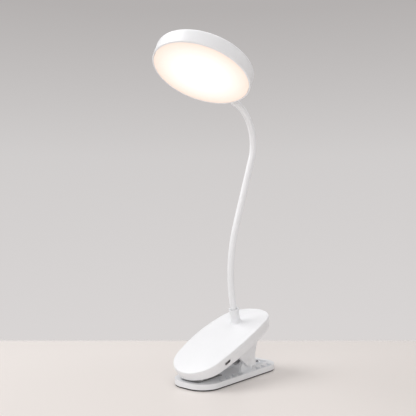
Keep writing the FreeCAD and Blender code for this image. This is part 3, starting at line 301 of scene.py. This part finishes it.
def arc(centre, start, end):
    """Points from start to end about a centre, a ring step apart."""
    first, last = start - centre, end - centre
    turn = math.atan2(first.y * last.z - first.z * last.y, first.dot(last))
    steps = max(2, math.ceil(abs(turn) * first.length / RING_STEP))
    points = []
    for index in range(steps + 1):
        angle = turn * index / steps
        y = first.y * math.cos(angle) - first.z * math.sin(angle)
        z = first.y * math.sin(angle) + first.z * math.cos(angle)
        points.append(centre + Vector((0, y, z)))
    return points


def line(start, end):
    """Points from start to end, a ring step apart."""
    steps = max(2, math.ceil((end - start).length / RING_STEP))
    return [start.lerp(end, index / steps) for index in range(steps + 1)]


def beyond(centre, point, run, toward):
    """The point that lies a run further round the circle, and the direction there."""
    reach = point - centre
    side = 1.0 if reach.y * toward.z - reach.z * toward.y > 0 else -1.0
    turn = side * run / reach.length
    y = reach.y * math.cos(turn) - reach.z * math.sin(turn)
    z = reach.y * math.sin(turn) + reach.z * math.cos(turn)
    moved = Vector((0, y, z))
    return centre + moved, Vector((0, -moved.z, moved.y)).normalized() * side


def neck_spans():
    """The neck's centre line in runs: below the first joint, between the joints, and past the last."""
    at = [Vector(joint["pos_m"]) for joint in BEND_JOINTS]
    low = circle_through(at[0], at[1], at[2])
    high = circle_through(at[4], at[5], at[6])
    ring, down = beyond(low, at[0], ROOT_ARC, at[0] - at[1])
    bend_end, onward = beyond(high, at[6], HEAD_ARC, at[6] - at[5])
    root = line(ring + down * INTO_COLLAR, ring)[:-1] + arc(low, ring, at[0])
    tip = arc(high, at[6], bend_end)[:-1] + line(bend_end, bend_end + onward * INTO_HEAD)
    spans = [root, arc(low, at[0], at[1]), arc(low, at[1], at[2]), line(at[2], at[3]), line(at[3], at[4])]
    return spans + [arc(high, at[4], at[5]), arc(high, at[5], at[6]), tip]


def make_neck():
    """The sleeve in one stretch per joint, each from the middle of one span to the middle of the next."""
    spans = neck_spans()
    last = len(BEND_JOINTS) - 1
    sleeves = ["neck_sleeve_root"] + ["neck_sleeve_link_%d" % (link + 1) for link in range(last)]
    for index, joint in enumerate(BEND_JOINTS):
        before, after = spans[index], spans[index + 1]
        low = before if index == 0 else before[len(before) // 2:]
        high = after if index == last else after[:len(after) // 2 + 1]
        centres = low[:-1] + high
        piece = tube("neck_skin_%d" % (index + 1), centres, NECK_RADIUS, NECK_SIDES, "neck_silicone")
        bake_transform(piece)
        covered = [sleeves[index]] + (["neck_sleeve_stub"] if index == last else [])
        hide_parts(*covered)


# ---------------------------------------------------------------- the wound spring on the hinge pin
WIRE = 0.9 * MM
COIL = 7.1 * MM
COIL_END = 6.3 * MM
COIL_TURNS = 7
COIL_STEPS = 36
WIRE_SIDES = 12
LEG = 23.0 * MM
LEG_STEPS = 6
UPPER_RISE = math.radians(52.0)
LOWER_FALL = math.radians(12.0)


def make_spring():
    """A close-wound wire with one leg towards the jaw and one towards the housing; neither reaches it."""
    # angles run from +Y towards +Z; each leg leaves the coil at a tangent and runs back
    first = -math.pi / 2 - LOWER_FALL
    final = math.pi / 2 + UPPER_RISE - 2 * math.pi * COIL_TURNS
    steps = round(abs(final - first) / (2 * math.pi) * COIL_STEPS)
    coil = []
    for index in range(steps + 1):
        share = index / steps
        angle = first + (final - first) * share
        spot = Vector((COIL_END * (2 * share - 1), COIL * math.cos(angle), COIL * math.sin(angle)))
        coil.append(HINGE + spot)
    lower_way = Vector((0, math.cos(LOWER_FALL), -math.sin(LOWER_FALL)))
    upper_way = Vector((0, math.cos(UPPER_RISE), math.sin(UPPER_RISE)))
    lower = [coil[0] + lower_way * LEG * part / LEG_STEPS for part in range(LEG_STEPS, 0, -1)]
    upper = [coil[-1] + upper_way * LEG * part / LEG_STEPS for part in range(1, LEG_STEPS + 1)]
    spring = tube("wound_spring", lower + coil + upper, WIRE, WIRE_SIDES, "steel")
    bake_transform(spring)
    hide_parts("torsion_spring")


make_neck()
make_spring()
make_camera()
make_world()
make_floor()
for light in LIGHTS:
    make_light(*light)
bpy.context.scene.view_settings.view_transform = "Standard"
